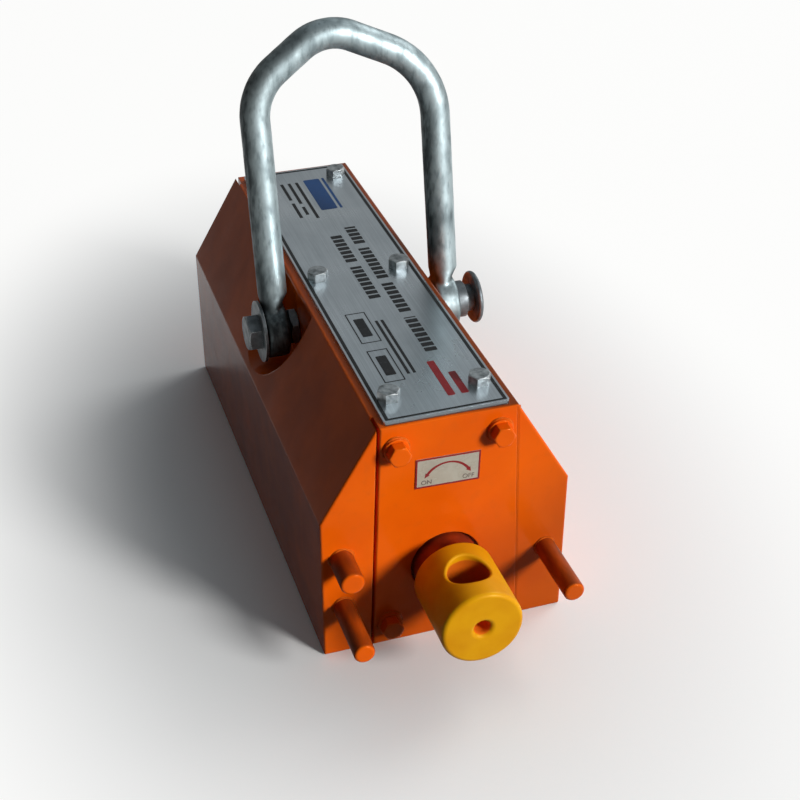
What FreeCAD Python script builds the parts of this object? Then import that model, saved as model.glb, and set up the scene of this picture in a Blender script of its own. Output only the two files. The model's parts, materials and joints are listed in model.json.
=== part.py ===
"""Permanent magnetic lifter with a turning magnet core and a swinging shackle.

Millimetres, +Z up.  The origin is the middle of the underside, -Y is the end
with the lever hub, +X is to the right seen from that end.  The shackle is drawn
leaning back by its rest angle and the lever socket points straight up.
"""
import math
import os

import FreeCAD
import Part
from FreeCAD import Placement, Rotation, Vector

# Body
body_length = 380.0
body_width = 168.0
body_height = 172.5
top_width = 92.0
flank_drop = 64.5
edge_radius = 1.5

# Core bore, fixed magnets and closing strips
core_axis_z = 58.5
core_diameter = 84.0
core_gap = 0.5
fixed_magnet_width = 36.0
fixed_magnet_clearance = 3.0
fixed_magnet_count = 8
top_bar_thickness = 12.5
pole_gap = 18.0
strip_thickness = 12.0

# End covers
cover_thickness = 14.0
cover_edge = 0.8
cover_spread = 6.0
left_seam = 1.8
right_seam = 0.1
cover_bolt_inset_x = 12.5
cover_bolt_inset_z = 17.0
cover_bolt_engagement = 18.0

# Core shaft, bushes and thrust washers
journal_diameter = 40.0
running_clearance = 0.05
bush_diameter = 48.0
bush_length = 9.0
thrust_diameter = 60.0
thrust_thickness = 2.0
end_play = 0.3
flange_thickness = 12.0
core_magnet_thickness = 28.0
core_magnet_width = 68.0
core_magnet_count = 7
flange_screw_x = 14.0
flange_screw_z = 28.0
flange_screw_engagement = 16.0

# Lever hub
collar_length = 14.5
collar_gap = 2.0
hub_diameter = 54.0
hub_length = 54.3
hub_front_radius = 3.0
hub_back_radius = 2.0
stub_diameter = 30.0
stub_length = 10.0
lever_diameter = 26.0
lever_clearance = 0.15
socket_from_cover = 40.8
socket_below_axis = 14.0
socket_mouth_radius = 1.6
clamp_hole_diameter = 10.2
clamp_mouth_radius = 3.5
lock_pin_diameter = 8.0
lock_pin_recess = 1.0
lock_pin_above_axis = 10.0

# Stop pins
latch_pin_from_side = 13.5
latch_pin_above_axis = 19.5
latch_pin_diameter = 16.0
latch_pin_length = 26.0
stop_pin_from_side = 14.0
stop_pin_diameter = 14.0
on_pin_below_axis = 19.5
on_pin_length = 48.0
off_pin_below_axis = 4.5
off_pin_length = 50.5
stop_pin_root = 20.0
stop_pin_edge = 2.0

# Nameplate and switch label
plate_width = 82.0
plate_thickness = 3.0
plate_front_margin = 2.0
plate_back_margin = 8.0
plate_corner = 2.0
plate_bolt_inset = 11.0
plate_bolt_from_end = 27.0
plate_bolt_engagement = 12.0
plate_bolt_head_height = 6.6
label_width = 43.0
label_height = 22.0
label_thickness = 0.5
label_below_top = 39.6
label_tilt = 1.7

# Shackle pivots and the round pockets in the flanks
pivot_below_top = 32.5
pocket_diameter = 92.5
pocket_above_pivot = 18.1
pocket_floor = 47.0
pivot_diameter = 16.0
pivot_engagement = 25.0
pivot_across_flats = 24.0
pivot_head_height = 9.4
lock_nut_height = 6.5
lock_nut_gap = 1.8
pivot_clearance = 0.1
side_play = 0.3
left_washer_diameter = 44.0
left_washer_thickness = 2.2
right_boss_diameter = 27.0
right_boss_length = 7.0
right_sleeve_diameter = 20.0
right_sleeve_length = 13.0
right_head_diameter = 38.6
right_head_thickness = 4.2
right_head_edge = 2.0

# Shackle
bar_diameter = 21.0
eye_thickness = 17.0
eye_diameter = 40.0
eye_edge = 3.0
neck_foot_width = 25.0
neck_foot_thickness = 15.0
neck_flat_width = 22.5
neck_flat_thickness = 16.4
neck_length = 5.0
leg_tilt = 0.5
left_shoulder = 171.0
left_shoulder_radius = 40.0
crown_height = 208.5
crown_offset = -12.0
crown_radius = 35.0
right_shoulder = 174.0
right_shoulder_radius = 55.0
shackle_lean = 9.0

# Fasteners and fits
bolt_diameter = 8.0
bolt_across_flats = 13.0
bolt_head_height = 7.5
bolt_clearance = 0.5
head_face_share = 0.95
head_chamfer_angle = 30.0
washer_diameter = 17.0
washer_thickness = 2.5
cap_head_diameter = 13.0
cap_head_height = 8.0
cap_socket_flats = 6.0
cap_socket_depth = 4.0
seat_clearance = 0.05
overshoot = 5.0

# Worked out from the sizes above
half_length = body_length / 2
half_width = body_width / 2
flank_start = body_height - flank_drop
pivot_z = body_height - pivot_below_top
pocket_z = pivot_z + pocket_above_pivot
label_z = body_height - label_below_top
cover_inner = half_length - cover_thickness
cover_left = -top_width / 2 + left_seam
cover_right = top_width / 2 - right_seam
core_radius = core_diameter / 2
bore_radius = core_radius + core_gap
fixed_magnet_bottom = core_axis_z + bore_radius + fixed_magnet_clearance
fixed_magnet_top = body_height - top_bar_thickness
flange_face = cover_inner - thrust_thickness - end_play
core_half_length = flange_face - flange_thickness
cover_bolt_x = top_width / 2 - cover_bolt_inset_x
cover_bolt_heights = (cover_bolt_inset_z, body_height - cover_bolt_inset_z)
collar_diameter = bush_diameter - 2 * collar_gap
collar_start = cover_inner + bush_length + end_play
hub_back = half_length + collar_length
hub_front = hub_back + hub_length
socket_y = -(half_length + socket_from_cover)
lock_pin_y = -(hub_back + stub_length / 2)
plate_front = plate_front_margin - half_length
plate_back = half_length - plate_back_margin
plate_bolt_x = plate_width / 2 - plate_bolt_inset
plate_bolt_row = half_length - plate_bolt_from_end
eye_inner = pocket_floor + lock_nut_height + lock_nut_gap
eye_middle = eye_inner + eye_thickness / 2
eye_seat = eye_inner + eye_thickness + side_play
neck_flat_height = left_washer_diameter / 2
neck_height = neck_flat_height + neck_length
bolt_hole = bolt_diameter + 2 * bolt_clearance
tapped_hole = bolt_diameter + 2 * seat_clearance

LEFT = -1
RIGHT = 1
ACROSS = Vector(1, 0, 0)
FORWARD = Vector(0, -1, 0)
BACK = Vector(0, 1, 0)
UP = Vector(0, 0, 1)
ORIGIN = Vector(0, 0, 0)


def save(shape, node):
    """Write one piece of the assembly."""
    shape.exportStep("parts/" + node + ".step")


def box(low, high):
    """Block between two corners."""
    size = Vector(*high) - Vector(*low)
    return Part.makeBox(size.x, size.y, size.z, Vector(*low))


def rod(diameter, base, direction, length):
    """Round bar or drill of one diameter."""
    return Part.makeCylinder(diameter / 2, length, base, direction)


def turned(profile, base, direction):
    """Lathe piece: (radius, distance along the axis) points, spun about the axis."""
    points = [Vector(radius, 0, along) for radius, along in profile]
    outline = Part.makePolygon(points + points[:1])
    piece = Part.Face(outline).revolve(ORIGIN, UP, 360)
    piece.Placement = Placement(base, Rotation(UP, direction))
    return piece


def ring(outer, inner, base, direction, length):
    """Washer, bush or sleeve."""
    profile = [(inner / 2, 0), (outer / 2, 0), (outer / 2, length), (inner / 2, length)]
    return turned(profile, base, direction)


def hexagon(across_flats, height):
    """Upright six-sided prism standing on the origin."""
    corner = across_flats / 3 ** 0.5
    first = Vector(corner, 0, 0)
    points = [Rotation(UP, 60 * index).multVec(first) for index in range(7)]
    return Part.Face(Part.makePolygon(points)).extrude(UP * height)


def hex_head(across_flats, height, both_ends):
    """Hexagon with its corners turned off on top, and below too on a nut."""
    corner = across_flats / 3 ** 0.5
    face_radius = across_flats / 2 * head_face_share
    drop = (corner - face_radius) * math.tan(math.radians(head_chamfer_angle))
    foot = [(face_radius, 0), (corner, drop)] if both_ends else [(corner, 0)]
    profile = [(0, 0)] + foot + [(corner, height - drop), (face_radius, height), (0, height)]
    return hexagon(across_flats, height).common(turned(profile, ORIGIN, UP))


def hex_bolt(diameter, across_flats, head_height, shank, seat, direction):
    """Bolt with its head standing off the seat along the direction."""
    stem = rod(diameter, ORIGIN, -UP, shank)
    bolt = hex_head(across_flats, head_height, False).fuse(stem).removeSplitter()
    bolt.Placement = Placement(seat, Rotation(UP, direction))
    return bolt


def cap_screw(shank, seat, direction):
    """Socket head screw whose head ends at the seat, sunk below it."""
    head = rod(cap_head_diameter, -UP * cap_head_height, UP, cap_head_height)
    stem = rod(bolt_diameter, -UP * cap_head_height, -UP, shank)
    socket = hexagon(cap_socket_flats, cap_socket_depth)
    socket.translate(-UP * cap_socket_depth)
    screw = head.fuse(stem).cut(socket).removeSplitter()
    screw.Placement = Placement(seat, Rotation(UP, direction))
    return screw


def group(pieces):
    """Separate like solids kept in one node."""
    return Part.makeCompound(pieces)


def along_axis(y):
    """Point on the axis of the turning core."""
    return Vector(0, y, core_axis_z)


def widening(z):
    """How far each side of an end cover stands out at height z, compared with its top."""
    return cover_spread * (1 - z / body_height)


def cover_outline(left, right, low, high, y):
    """Outline of an end cover or of its rebate on the plane y, wider at the foot."""
    corners = [(left, low), (right, low), (right, high), (left, high)]
    points = [Vector(x + math.copysign(widening(z), x), y, z) for x, z in corners]
    return Part.Face(Part.makePolygon(points + points[:1]))


def cover_bolt_places(y):
    """The four bolt centres of an end cover on the plane y."""
    return [Vector(side * (cover_bolt_x + widening(z)), y, z) for z in cover_bolt_heights for side in (LEFT, RIGHT)]


def plate_bolt_places(z):
    """The six bolt centres of the nameplate at height z."""
    rows = (-plate_bolt_row, 0, plate_bolt_row)
    return [Vector(side * plate_bolt_x, y, z) for y in rows for side in (LEFT, RIGHT)]


def stop_pin_places():
    """Centre on the front face, diameter and free length of each stop pin."""
    latch = Vector(latch_pin_from_side - half_width, -half_length, core_axis_z + latch_pin_above_axis)
    stop_on = Vector(stop_pin_from_side - half_width, -half_length, core_axis_z - on_pin_below_axis)
    stop_off = Vector(half_width - stop_pin_from_side, -half_length, core_axis_z - off_pin_below_axis)
    return {
        "latch_pin": (latch, latch_pin_diameter, latch_pin_length),
        "on_stop_pin": (stop_on, stop_pin_diameter, on_pin_length),
        "off_stop_pin": (stop_off, stop_pin_diameter, off_pin_length),
    }


def is_outer_edge(edge, side):
    """True for the edges of a pole block that show on the outside of the body."""
    middle = edge.CenterOfMass
    inside = side * middle.x < top_width / 2 - edge_radius
    at_end = abs(abs(middle.y) - half_length) < edge_radius
    below = middle.z < edge_radius
    return not inside or (at_end and below)


def pole_block(side):
    """Steel half of the body: half the core bore, cover rebates, flank pocket and tapped holes."""
    section = [
        (pole_gap / 2, 0),
        (half_width, 0),
        (half_width, flank_start),
        (top_width / 2, body_height),
        (fixed_magnet_width / 2, body_height),
        (fixed_magnet_width / 2, core_axis_z),
        (pole_gap / 2, core_axis_z),
    ]
    points = [Vector(side * x, -half_length, z) for x, z in section]
    block = Part.Face(Part.makePolygon(points + points[:1])).extrude(BACK * body_length)
    block = block.makeFillet(edge_radius, [edge for edge in block.Edges if is_outer_edge(edge, side)])
    cuts = [rod(2 * bore_radius, along_axis(-half_length), BACK, body_length)]
    for end in (-half_length, cover_inner):
        rebate = cover_outline(-top_width / 2, top_width / 2, -overshoot, body_height + overshoot, end)
        cuts.append(rebate.extrude(BACK * cover_thickness))
    outward = ACROSS * side
    pocket_depth = half_width - pocket_floor + overshoot
    cuts.append(rod(pocket_diameter, Vector(side * pocket_floor, 0, pocket_z), outward, pocket_depth))
    pivot_hole = pivot_diameter + 2 * seat_clearance
    cuts.append(rod(pivot_hole, Vector(side * pocket_floor, 0, pivot_z), -outward, pivot_engagement))
    for y, inward in ((-cover_inner, BACK), (cover_inner, FORWARD)):
        cuts += [rod(tapped_hole, place, inward, cover_bolt_engagement) for place in cover_bolt_places(y)]
    cuts += [rod(tapped_hole, place, -UP, plate_bolt_engagement) for place in plate_bolt_places(body_height)]
    for place, diameter, length in stop_pin_places().values():
        cuts.append(rod(diameter + 2 * seat_clearance, place, BACK, stop_pin_root))
    return block.cut(group(cuts))


def top_spacer_bar():
    """Bar that closes the magnet slot below the nameplate."""
    half = fixed_magnet_width / 2
    return box((-half, -cover_inner, fixed_magnet_top), (half, cover_inner, body_height))


def bottom_spacer_strip():
    """Brass strip that keeps the two pole faces apart, ground level with them."""
    half = pole_gap / 2
    return box((-half, -cover_inner, 0), (half, cover_inner, strip_thickness))


def magnet_row(count, half_span, low, high):
    """Blocks end to end along Y between two (x, z) corners."""
    length = 2 * half_span / count
    starts = [-half_span + index * length for index in range(count)]
    return group([box((low[0], y, low[1]), (high[0], y + length, high[1])) for y in starts])


def fixed_magnets():
    """Row of magnet blocks between the pole blocks, above the core."""
    half = fixed_magnet_width / 2
    return magnet_row(fixed_magnet_count, cover_inner, (-half, fixed_magnet_bottom), (half, fixed_magnet_top))


def cover_blank(outer_y, inner_y):
    """End plate with softened outer edges and its four bolt holes."""
    blank = cover_outline(cover_left, cover_right, 0, body_height, inner_y).extrude(Vector(0, outer_y - inner_y, 0))
    rim = [edge for edge in blank.Edges if abs(edge.CenterOfMass.y - outer_y) < cover_edge]
    blank = blank.makeChamfer(cover_edge, rim)
    inward = BACK if inner_y > outer_y else FORWARD
    return blank.cut(group([rod(bolt_hole, place, inward, cover_thickness) for place in cover_bolt_places(outer_y)]))


def front_cover():
    """End plate that the core shaft comes out of."""
    shaft_hole = rod(bush_diameter, along_axis(-half_length), BACK, cover_thickness)
    return cover_blank(-half_length, -cover_inner).cut(shaft_hole)


def rear_cover():
    """Closed end plate with a blind seat for the rear bush."""
    bush_seat = rod(bush_diameter, along_axis(cover_inner), BACK, bush_length + end_play)
    return cover_blank(half_length, cover_inner).cut(bush_seat)


def bush(inner_y, direction):
    """Bronze bush pressed into a cover, level with its inner face."""
    bore = journal_diameter + 2 * running_clearance
    return ring(bush_diameter - 2 * seat_clearance, bore, along_axis(inner_y), direction, bush_length)


def thrust_washer(cover_y, direction):
    """Bronze washer between a cover and the end flange of the core."""
    inner = journal_diameter + 2 * end_play
    return ring(thrust_diameter, inner, along_axis(cover_y), direction, thrust_thickness)


def cover_bolts(outer_y, direction):
    """Four hex bolts of one end cover, standing on their washers."""
    shank = washer_thickness + cover_thickness + cover_bolt_engagement - end_play
    seats = [place + direction * washer_thickness for place in cover_bolt_places(outer_y)]
    sizes = (bolt_diameter, bolt_across_flats, bolt_head_height, shank)
    return group([hex_bolt(*sizes, seat, direction) for seat in seats])


def cover_washers(outer_y, direction):
    """Plain washers below the cover bolts."""
    bore = bolt_diameter + 2 * seat_clearance
    places = cover_bolt_places(outer_y)
    return group([ring(washer_diameter, bore, place, direction, washer_thickness) for place in places])


def nameplate():
    """Long plate on top of the body with rounded corners."""
    half = plate_width / 2
    low = (-half, plate_front, body_height)
    plate = box(low, (half, plate_back, body_height + plate_thickness))
    corners = [edge for edge in plate.Edges if edge.BoundBox.ZLength > plate_thickness / 2]
    plate = plate.makeFillet(plate_corner, corners)
    return plate.cut(group([rod(bolt_hole, place, UP, plate_thickness) for place in plate_bolt_places(body_height)]))


def nameplate_bolts():
    """Six hex bolts that hold the nameplate down."""
    shank = plate_thickness + plate_bolt_engagement - end_play
    sizes = (bolt_diameter, bolt_across_flats, plate_bolt_head_height, shank)
    return group([hex_bolt(*sizes, seat, UP) for seat in plate_bolt_places(body_height + plate_thickness)])


def switch_label():
    """Thin label stuck on the front cover above the hub, a little askew."""
    low = (-label_width / 2, -label_thickness, -label_height / 2)
    label = box(low, (label_width / 2, 0, label_height / 2))
    label.Placement = Placement(Vector(0, -half_length, label_z), Rotation(BACK, label_tilt))
    return label


def stop_pin(place, diameter, length):
    """Round pin pressed into the front of a pole block, its end turned round."""
    radius = diameter / 2
    root = rod(diameter, place + BACK * stop_pin_root, FORWARD, stop_pin_root + length)
    tip_y = place.y - length
    tip = [edge for edge in root.Edges if edge.Closed and abs(edge.CenterOfMass.y - tip_y) < radius]
    return root.makeFillet(stop_pin_edge, tip)


def core_pole(side):
    """Steel segment of the turning core above or below its magnets."""
    length = 2 * core_half_length
    barrel = rod(core_diameter, along_axis(-core_half_length), BACK, length)
    near = core_axis_z + side * core_magnet_thickness / 2
    far = core_axis_z + side * core_diameter
    low = (-core_diameter, -core_half_length, min(near, far))
    segment = barrel.common(box(low, (core_diameter, core_half_length, max(near, far))))
    holes = []
    for y, inward in ((-core_half_length, BACK), (core_half_length, FORWARD)):
        holes += [rod(tapped_hole, place, inward, flange_screw_engagement) for place in flange_screw_places(y)]
    return segment.cut(group(holes))


def core_magnets():
    """Row of magnet blocks between the two core poles."""
    across = core_magnet_width / 2
    half_height = core_magnet_thickness / 2
    low = (-across, core_axis_z - half_height)
    high = (across, core_axis_z + half_height)
    return magnet_row(core_magnet_count, core_half_length, low, high)


def flange_screw_places(y):
    """The four screw centres of an end flange on the plane y."""
    signs = [(across, up) for up in (LEFT, RIGHT) for across in (LEFT, RIGHT)]
    return [Vector(a * flange_screw_x, y, core_axis_z + u * flange_screw_z) for a, u in signs]


def flange(inner_y, direction, shaft):
    """End flange of the core: a disc turned in one piece with its shaft steps."""
    profile = [(0, 0), (core_radius, 0), (core_radius, flange_thickness)]
    for diameter, start, end in shaft:
        profile += [(diameter / 2, start), (diameter / 2, end)]
    profile.append((0, profile[-1][1]))
    piece = turned(profile, along_axis(inner_y), direction)
    holes = []
    for place in flange_screw_places(inner_y):
        holes.append(rod(bolt_hole, place, direction, flange_thickness))
        seat = place + direction * (flange_thickness - cap_head_height)
        holes.append(rod(cap_head_diameter + 2 * bolt_clearance, seat, direction, cap_head_height))
    return piece.cut(group(holes))


def front_flange():
    """Front flange with the journal, the wider collar outside the bush and the stub that carries the hub."""
    journal_end = collar_start - core_half_length
    collar_end = hub_back - core_half_length
    shaft = (
        (journal_diameter, flange_thickness, journal_end),
        (collar_diameter, journal_end, collar_end),
        (stub_diameter, collar_end, collar_end + stub_length),
    )
    piece = flange(-core_half_length, FORWARD, shaft)
    pin_hole = rod(lock_pin_diameter + 2 * seat_clearance, lock_pin_start(), UP, lock_pin_length())
    return piece.cut(pin_hole)


def rear_flange():
    """Rear flange with its short journal."""
    journal_end = flange_thickness + end_play + thrust_thickness + bush_length
    return flange(core_half_length, BACK, ((journal_diameter, flange_thickness, journal_end),))


def flange_screws(inner_y, direction):
    """Four sunk cap screws of one end flange."""
    shank = flange_thickness - cap_head_height + flange_screw_engagement - end_play
    seats = [place + direction * flange_thickness for place in flange_screw_places(inner_y)]
    return group([cap_screw(shank, seat, direction) for seat in seats])


def lock_pin_start():
    """Lower end of the pin that locks the hub to the shaft stub."""
    return Vector(0, lock_pin_y, core_axis_z - hub_diameter / 2 + lock_pin_recess)


def lock_pin_length():
    """Length of the hub's lock pin."""
    return hub_diameter / 2 - lock_pin_recess + lock_pin_above_axis


def lever_hub():
    """Yellow hub with the lever's cross socket and the clamp hole in its front face."""
    hub = rod(hub_diameter, along_axis(-hub_back), FORWARD, hub_length)
    for y, radius in ((-hub_front, hub_front_radius), (-hub_back, hub_back_radius)):
        rim = [edge for edge in hub.Edges if edge.Closed and abs(edge.CenterOfMass.y - y) < radius]
        hub = hub.makeFillet(radius, rim)
    socket_bottom = Vector(0, socket_y, core_axis_z - socket_below_axis)
    socket_diameter = lever_diameter + 2 * lever_clearance
    hub = hub.cut(rod(socket_diameter, socket_bottom, UP, hub_diameter))
    hub = hub.makeFillet(socket_mouth_radius, [edge for edge in hub.Edges if is_socket_mouth(edge)])
    hub = hub.cut(rod(clamp_hole_diameter, along_axis(-hub_front), BACK, hub_front + socket_y))
    hub = hub.makeFillet(clamp_mouth_radius, [edge for edge in hub.Edges if is_clamp_mouth(edge)])
    stub_hole = rod(stub_diameter + 2 * seat_clearance, along_axis(-hub_back), FORWARD, stub_length + end_play)
    pin_start = lock_pin_start() - UP * overshoot
    pin_hole = rod(lock_pin_diameter + 2 * seat_clearance, pin_start, UP, hub_diameter / 2)
    return hub.cut(stub_hole).cut(pin_hole)


def is_socket_mouth(edge):
    """True for the edge where the lever socket breaks through the round of the hub."""
    bounds = edge.BoundBox
    return bounds.ZMin > core_axis_z and bounds.XLength > lever_diameter / 4


def is_clamp_mouth(edge):
    """True for the rim of the clamp hole in the hub's front face."""
    bounds = edge.BoundBox
    on_face = bounds.YMax < clamp_mouth_radius - hub_front
    return on_face and bounds.XLength < clamp_hole_diameter + clamp_mouth_radius


def hub_lock_pin():
    """Pin driven up through the hub and the shaft stub."""
    return rod(lock_pin_diameter, lock_pin_start(), UP, lock_pin_length())


def pivot_point(x):
    """Point on the shackle's swing axis."""
    return Vector(x, 0, pivot_z)


def lock_nut(side):
    """Thin nut that locks a pivot bolt against the pocket floor."""
    bore = rod(pivot_diameter + 2 * seat_clearance, ORIGIN, UP, lock_nut_height)
    nut = hex_head(pivot_across_flats, lock_nut_height, True).cut(bore)
    nut.Placement = Placement(pivot_point(side * pocket_floor), Rotation(UP, ACROSS * side))
    return nut


def left_pivot_bolt():
    """Hex bolt that the left eye of the shackle turns on."""
    head_seat = eye_seat + left_washer_thickness
    shank = head_seat - pocket_floor + pivot_engagement - side_play
    sizes = (pivot_diameter, pivot_across_flats, pivot_head_height, shank)
    return hex_bolt(*sizes, pivot_point(-head_seat), -ACROSS)


def left_pivot_washer():
    """Large washer between the left eye and the bolt head."""
    bore = pivot_diameter + 2 * seat_clearance
    return ring(left_washer_diameter, bore, pivot_point(-eye_seat), -ACROSS, left_washer_thickness)


def right_pivot_sleeve():
    """Stepped sleeve between the right eye and the head of its pin, thick next to the eye."""
    bore = pivot_diameter / 2 + seat_clearance
    boss = right_boss_diameter / 2
    neck = right_sleeve_diameter / 2
    profile = [(bore, 0), (boss, 0), (boss, right_boss_length), (neck, right_boss_length)]
    profile += [(neck, right_sleeve_length), (bore, right_sleeve_length)]
    return turned(profile, pivot_point(eye_seat), ACROSS)


def right_pivot_pin():
    """Pin with a disc head of rounded rim that the right eye turns on."""
    start = pocket_floor - pivot_engagement + side_play
    head = eye_seat + right_sleeve_length
    shank = rod(pivot_diameter, pivot_point(start), ACROSS, head - start)
    disc = rod(right_head_diameter, pivot_point(head), ACROSS, right_head_thickness)
    disc = disc.makeFillet(right_head_edge, [edge for edge in disc.Edges if edge.Closed])
    return disc.fuse(shank).removeSplitter()


def rounded_corner(before, corner, after, radius):
    """Arc that rounds one corner of the shackle's route, tangent to both runs."""
    back = (before - corner).normalize()
    ahead = (after - corner).normalize()
    half_angle = back.getAngle(ahead) / 2
    inward = (back + ahead).normalize()
    tangent = radius / math.tan(half_angle)
    middle = corner + inward * (radius / math.sin(half_angle) - radius)
    return Part.Arc(corner + back * tangent, middle, corner + ahead * tangent).toShape()


def foot_shift(shoulder):
    """How far a leg's foot stands to the right of its shoulder, because both legs tilt alike."""
    return (shoulder - neck_height) * math.tan(math.radians(leg_tilt))


def shackle_route():
    """Middle line of the bent bar, from neck to neck."""
    corners = [
        (foot_shift(left_shoulder) - eye_middle, neck_height, 0),
        (-eye_middle, left_shoulder, left_shoulder_radius),
        (crown_offset, crown_height, crown_radius),
        (eye_middle, right_shoulder, right_shoulder_radius),
        (eye_middle + foot_shift(right_shoulder), neck_height, 0),
    ]
    points = [pivot_point(x) + UP * height for x, height, radius in corners]
    radii = [radius for x, height, radius in corners]
    arcs = [rounded_corner(*points[i - 1:i + 2], radii[i]) for i in range(1, len(points) - 1)]
    edges = []
    start = points[0]
    for arc in arcs:
        edges.append(Part.LineSegment(start, arc.firstVertex().Point).toShape())
        edges.append(arc)
        start = arc.lastVertex().Point
    edges.append(Part.LineSegment(start, points[-1]).toShape())
    return Part.Wire(edges)


def shackle_eye(side, shoulder):
    """Flattened end of the bar: a rounded disc and the short neck that runs into the round bar."""
    centre = pivot_point(side * eye_middle)
    disc = rod(eye_diameter, centre - ACROSS * (eye_thickness / 2), ACROSS, eye_thickness)
    disc = disc.makeFillet(eye_edge, [edge for edge in disc.Edges if edge.Closed])
    bar_end = UP * neck_height + ACROSS * foot_shift(shoulder)
    outlines = (
        (Part.Ellipse(ORIGIN, neck_foot_width / 2, neck_foot_thickness / 2), ORIGIN),
        (Part.Ellipse(ORIGIN, neck_flat_width / 2, neck_flat_thickness / 2), UP * neck_flat_height),
        (Part.Circle(ORIGIN, UP, bar_diameter / 2), bar_end),
    )
    sections = []
    for outline, place in outlines:
        section = Part.Wire(outline.toShape())
        section.Placement = Placement(centre + place, Rotation(UP, 90))
        sections.append(section)
    return disc.fuse(Part.makeLoft(sections, True))


def shackle():
    """Bent round bar with a flattened, drilled eye at each end, leaning back."""
    route = shackle_route()
    start = route.Vertexes[0].Point
    section = Part.Wire(Part.Circle(start, UP, bar_diameter / 2).toShape())
    bar = route.makePipeShell([section], True, False)
    piece = bar.fuse([shackle_eye(LEFT, left_shoulder), shackle_eye(RIGHT, right_shoulder)])
    drill = pivot_diameter + 2 * pivot_clearance
    piece = piece.cut(rod(drill, pivot_point(-eye_seat), ACROSS, 2 * eye_seat)).removeSplitter()
    piece.rotate(pivot_point(0), ACROSS, -shackle_lean)
    return piece


def main():
    """Build every piece and write it."""
    os.makedirs("parts", exist_ok=True)
    save(pole_block(LEFT), "left_pole_block")
    save(pole_block(RIGHT), "right_pole_block")
    save(top_spacer_bar(), "top_spacer_bar")
    save(bottom_spacer_strip(), "bottom_spacer_strip")
    save(fixed_magnets(), "fixed_magnets")
    save(front_cover(), "front_cover")
    save(rear_cover(), "rear_cover")
    for name, outer_y, direction in (("front", -half_length, FORWARD), ("rear", half_length, BACK)):
        inner_y = outer_y - direction.y * cover_thickness
        core_end = direction.y * core_half_length
        save(bush(inner_y, direction), name + "_bush")
        save(thrust_washer(inner_y, -direction), name + "_thrust_washer")
        save(cover_bolts(outer_y, direction), name + "_cover_bolts")
        save(cover_washers(outer_y, direction), name + "_cover_washers")
        save(flange_screws(core_end, direction), name + "_flange_screws")
    save(nameplate(), "nameplate")
    save(nameplate_bolts(), "nameplate_bolts")
    save(switch_label(), "switch_label")
    for name, (place, diameter, length) in stop_pin_places().items():
        save(stop_pin(place, diameter, length), name)
    save(core_pole(RIGHT), "core_upper_pole")
    save(core_pole(LEFT), "core_lower_pole")
    save(core_magnets(), "core_magnets")
    save(front_flange(), "front_core_flange")
    save(rear_flange(), "rear_core_flange")
    save(lever_hub(), "lever_hub")
    save(hub_lock_pin(), "hub_lock_pin")
    save(left_pivot_bolt(), "left_pivot_bolt")
    save(left_pivot_washer(), "left_pivot_washer")
    save(lock_nut(LEFT), "left_lock_nut")
    save(right_pivot_pin(), "right_pivot_pin")
    save(right_pivot_sleeve(), "right_pivot_sleeve")
    save(lock_nut(RIGHT), "right_lock_nut")
    save(shackle(), "shackle")


main()
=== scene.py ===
"""Looks of a permanent magnetic lifter, laid out as a Blender add-on and run as a script."""
import json
import math

import bmesh
import bpy
from bpy.props import FloatProperty, FloatVectorProperty, PointerProperty
from mathutils import Matrix, Vector


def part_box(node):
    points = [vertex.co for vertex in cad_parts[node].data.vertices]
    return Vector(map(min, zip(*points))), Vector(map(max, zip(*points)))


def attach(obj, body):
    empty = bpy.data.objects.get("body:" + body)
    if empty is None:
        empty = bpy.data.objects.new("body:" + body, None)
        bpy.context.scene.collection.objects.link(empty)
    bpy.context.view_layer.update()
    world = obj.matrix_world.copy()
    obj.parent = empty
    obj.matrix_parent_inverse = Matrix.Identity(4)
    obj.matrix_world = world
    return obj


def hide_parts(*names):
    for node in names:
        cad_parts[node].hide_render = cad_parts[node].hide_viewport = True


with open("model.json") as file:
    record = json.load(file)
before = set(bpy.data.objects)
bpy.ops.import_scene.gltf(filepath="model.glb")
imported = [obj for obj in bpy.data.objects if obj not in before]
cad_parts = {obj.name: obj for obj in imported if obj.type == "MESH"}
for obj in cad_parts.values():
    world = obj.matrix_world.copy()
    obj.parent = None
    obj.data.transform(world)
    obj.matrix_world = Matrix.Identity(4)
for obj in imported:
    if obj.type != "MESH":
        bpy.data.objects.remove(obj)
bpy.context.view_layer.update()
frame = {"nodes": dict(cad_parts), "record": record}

bl_info = {
    "name": "Magnetic Lifter Looks",
    "version": (1, 0, 0),
    "blender": (4, 5, 0),
    "location": "View3D > Sidebar > Lifter",
    "description": "Paint, print and steel finishes for a permanent magnetic lifter",
    "category": "Object",
}

MM = 0.001
HOUSING = "housing"
SHACKLE_BODY = "lifting_shackle"
MOUNTS = {mount["name"]: mount for mount in frame["record"]["mounts"]}
SOCKET = MOUNTS["lever_socket"]
CLAMP = MOUNTS["clamp_hole"]
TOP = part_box("left_pole_block")[1][2]
LABEL_TILT = math.radians(1.7)
WASHER_RADIUS = 8.5 * MM
PIN_DARKENING = 0.85
FEWEST_COAT_FACES = 1000
FLOOR_REACH = 12.0
SENSOR_WIDTH = 36.0

# Sockets of a mix node, whose names repeat: its share, two numbers and two colours
SHARE, FIRST, SECOND, UNDER, OVER = 0, 2, 3, 6, 7

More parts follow.
